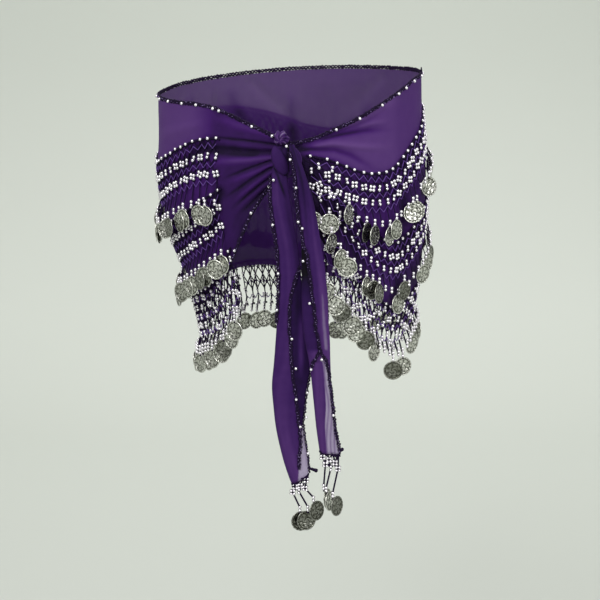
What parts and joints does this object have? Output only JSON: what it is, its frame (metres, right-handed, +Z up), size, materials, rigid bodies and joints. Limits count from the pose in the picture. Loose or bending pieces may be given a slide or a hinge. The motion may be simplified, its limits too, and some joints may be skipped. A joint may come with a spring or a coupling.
{
  "type": "belly dance hip scarf",
  "caption": "Sheer purple hip scarf knotted at the front, with scalloped tiers of beaded crochet net and rows of hanging silver coins.",
  "frame": {"origin": "middle of the hip hollow, level with the knot at the front", "axes": "+X to the wearer's left, +Y behind the wearer, +Z up"},
  "size_m": [0.3266, 0.2822, 0.5035],
  "materials": {
    "chiffon": "sheer matt chiffon, purple, slightly see-through",
    "knotted_chiffon": "folded chiffon, deep purple where layers lie on each other",
    "crochet": "dark purple crochet thread with bright silver beads",
    "edging": "near-black purple crochet edging with single silver beads",
    "coins": "stamped thin metal, aged silver, bright on the relief"
  },
  "bodies": {
    "root": {"chiffon_back": "chiffon", "chiffon_front_gathers": "chiffon", "chiffon_left_hip": "chiffon", "chiffon_right_hip": "chiffon", "coins_back_1": "coins", "coins_back_2": "coins", "coins_back_3": "coins", "coins_left_1": "coins", "coins_left_2": "coins", "coins_left_3": "coins", "coins_right_1": "coins", "coins_right_2": "coins", "coins_right_3": "coins", "coins_tail_left": "coins", "coins_tail_right": "coins", "edging_lower": "edging", "edging_tail_left_inner": "edging", "edging_tail_left_outer": "edging", "edging_tail_right_inner": "edging", "edging_tail_right_outer": "edging", "edging_top": "edging", "knot_core": "knotted_chiffon", "knot_flap": "knotted_chiffon", "knot_knob": "knotted_chiffon", "net_back_1": "crochet", "net_back_2": "crochet", "net_back_3": "crochet", "net_left_1": "crochet", "net_left_2": "crochet", "net_left_3": "crochet", "net_right_1": "crochet", "net_right_2": "crochet", "net_right_3": "crochet", "net_tail_left": "crochet", "net_tail_right": "crochet", "tail_left": "knotted_chiffon", "tail_right": "knotted_chiffon"}
  },
  "joints": []
}
